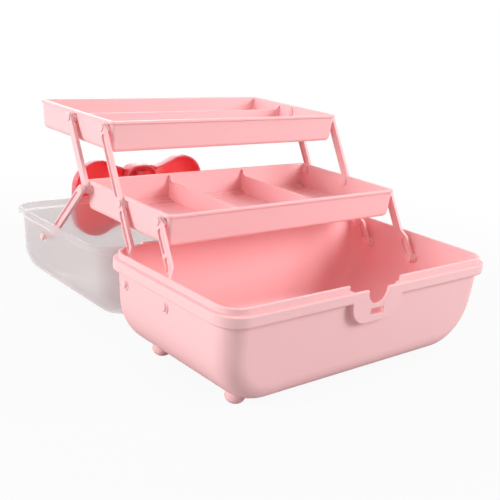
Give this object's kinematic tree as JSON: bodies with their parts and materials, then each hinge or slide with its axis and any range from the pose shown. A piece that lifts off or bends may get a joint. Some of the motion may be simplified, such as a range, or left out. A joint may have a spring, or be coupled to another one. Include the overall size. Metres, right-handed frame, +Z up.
{
  "type": "sewing box with trays",
  "caption": "Sewing box whose divided trays rise and spread on linked arms as the frosted lid swings back, with a bow-shaped clasp on the lid's front.",
  "frame": {"origin": "middle of the open box's footprint, on the floor", "axes": "+Z up, +Y from the front of the base towards the opened lid, +X along the box"},
  "size_m": [0.308, 0.368, 0.1892],
  "materials": {
    "body_pink": "satin moulded plastic, pale pink",
    "lid_frosted": "frosted translucent plastic, slightly grey",
    "bow_red": "glossy red plastic",
    "rivet_pink": "satin pink plastic",
    "pin_steel": "plain wire steel"
  },
  "bodies": {
    "base": {"base_shell": "body_pink", "base_feet": "rivet_pink", "base_pivot_rivets": "rivet_pink", "hinge_pin_left": "pin_steel", "hinge_pin_right": "pin_steel"},
    "lid": {"lid_shell": "lid_frosted", "lid_link_rivets": "rivet_pink", "clasp_pin": "pin_steel"},
    "long_arms": {"long_arm_left": "body_pink", "long_arm_right": "body_pink"},
    "mid_tray": {"mid_tray": "body_pink", "mid_tray_rivets": "rivet_pink"},
    "upper_tray": {"upper_tray": "body_pink", "upper_tray_rivets": "rivet_pink"},
    "front_arms": {"front_arm_left": "body_pink", "front_arm_right": "body_pink"},
    "upper_arms": {"upper_arm_left": "body_pink", "upper_arm_right": "body_pink"},
    "lid_links": {"lid_link_left": "body_pink", "lid_link_right": "body_pink"},
    "clasp": {"bow_loops": "bow_red", "bow_knot": "bow_red", "clasp_lever": "bow_red"}
  },
  "joints": [
    {"name": "lid_hinge", "type": "hinge", "parent": "base", "child": "lid", "pos_m": [0, -0.012, 0.08565], "axis": [1, 0, 0], "range_deg": [0, 180]},
    {"name": "long_arm_pivot", "type": "hinge", "parent": "base", "child": "long_arms", "pos_m": [0, -0.043, 0.0665], "axis": [1, 0, 0], "range_deg": [0, 95.2]},
    {"name": "front_arm_pivot", "type": "hinge", "parent": "base", "child": "front_arms", "pos_m": [0, -0.1, 0.0665], "axis": [1, 0, 0], "range_deg": [0, 95.2]},
    {"name": "mid_tray_pivot", "type": "hinge", "parent": "long_arms", "child": "mid_tray", "pos_m": [0, -0.01011, 0.12464], "axis": [1, 0, 0], "range_deg": [-95.2, 0]},
    {"name": "upper_tray_pivot", "type": "hinge", "parent": "long_arms", "child": "upper_tray", "pos_m": [0, 0.02279, 0.18278], "axis": [1, 0, 0], "range_deg": [-95.2, 0]},
    {"name": "upper_arm_pivot", "type": "hinge", "parent": "mid_tray", "child": "upper_arms", "pos_m": [0, 0.04689, 0.12464], "axis": [1, 0, 0], "range_deg": [0, 95.2]},
    {"name": "lid_link_pivot", "type": "hinge", "parent": "lid", "child": "lid_links", "pos_m": [0, 0.1015, 0.06715], "axis": [1, 0, 0], "range_deg": [0, 39.3]},
    {"name": "clasp_pivot", "type": "hinge", "parent": "lid", "child": "clasp", "pos_m": [0, 0.165, 0.0715], "axis": [-1, 0, 0], "range_deg": [-4, 16]}
  ],
  "couplings": [
    {"joint": "long_arm_pivot", "follows": "lid_hinge", "ratio": 0.5283},
    {"joint": "front_arm_pivot", "follows": "lid_hinge", "ratio": 0.5283},
    {"joint": "mid_tray_pivot", "follows": "lid_hinge", "ratio": -0.5283},
    {"joint": "upper_tray_pivot", "follows": "lid_hinge", "ratio": -0.5283},
    {"joint": "upper_arm_pivot", "follows": "lid_hinge", "ratio": 0.5283},
    {"joint": "lid_link_pivot", "follows": "lid_hinge", "ratio": 0.2177}
  ]
}
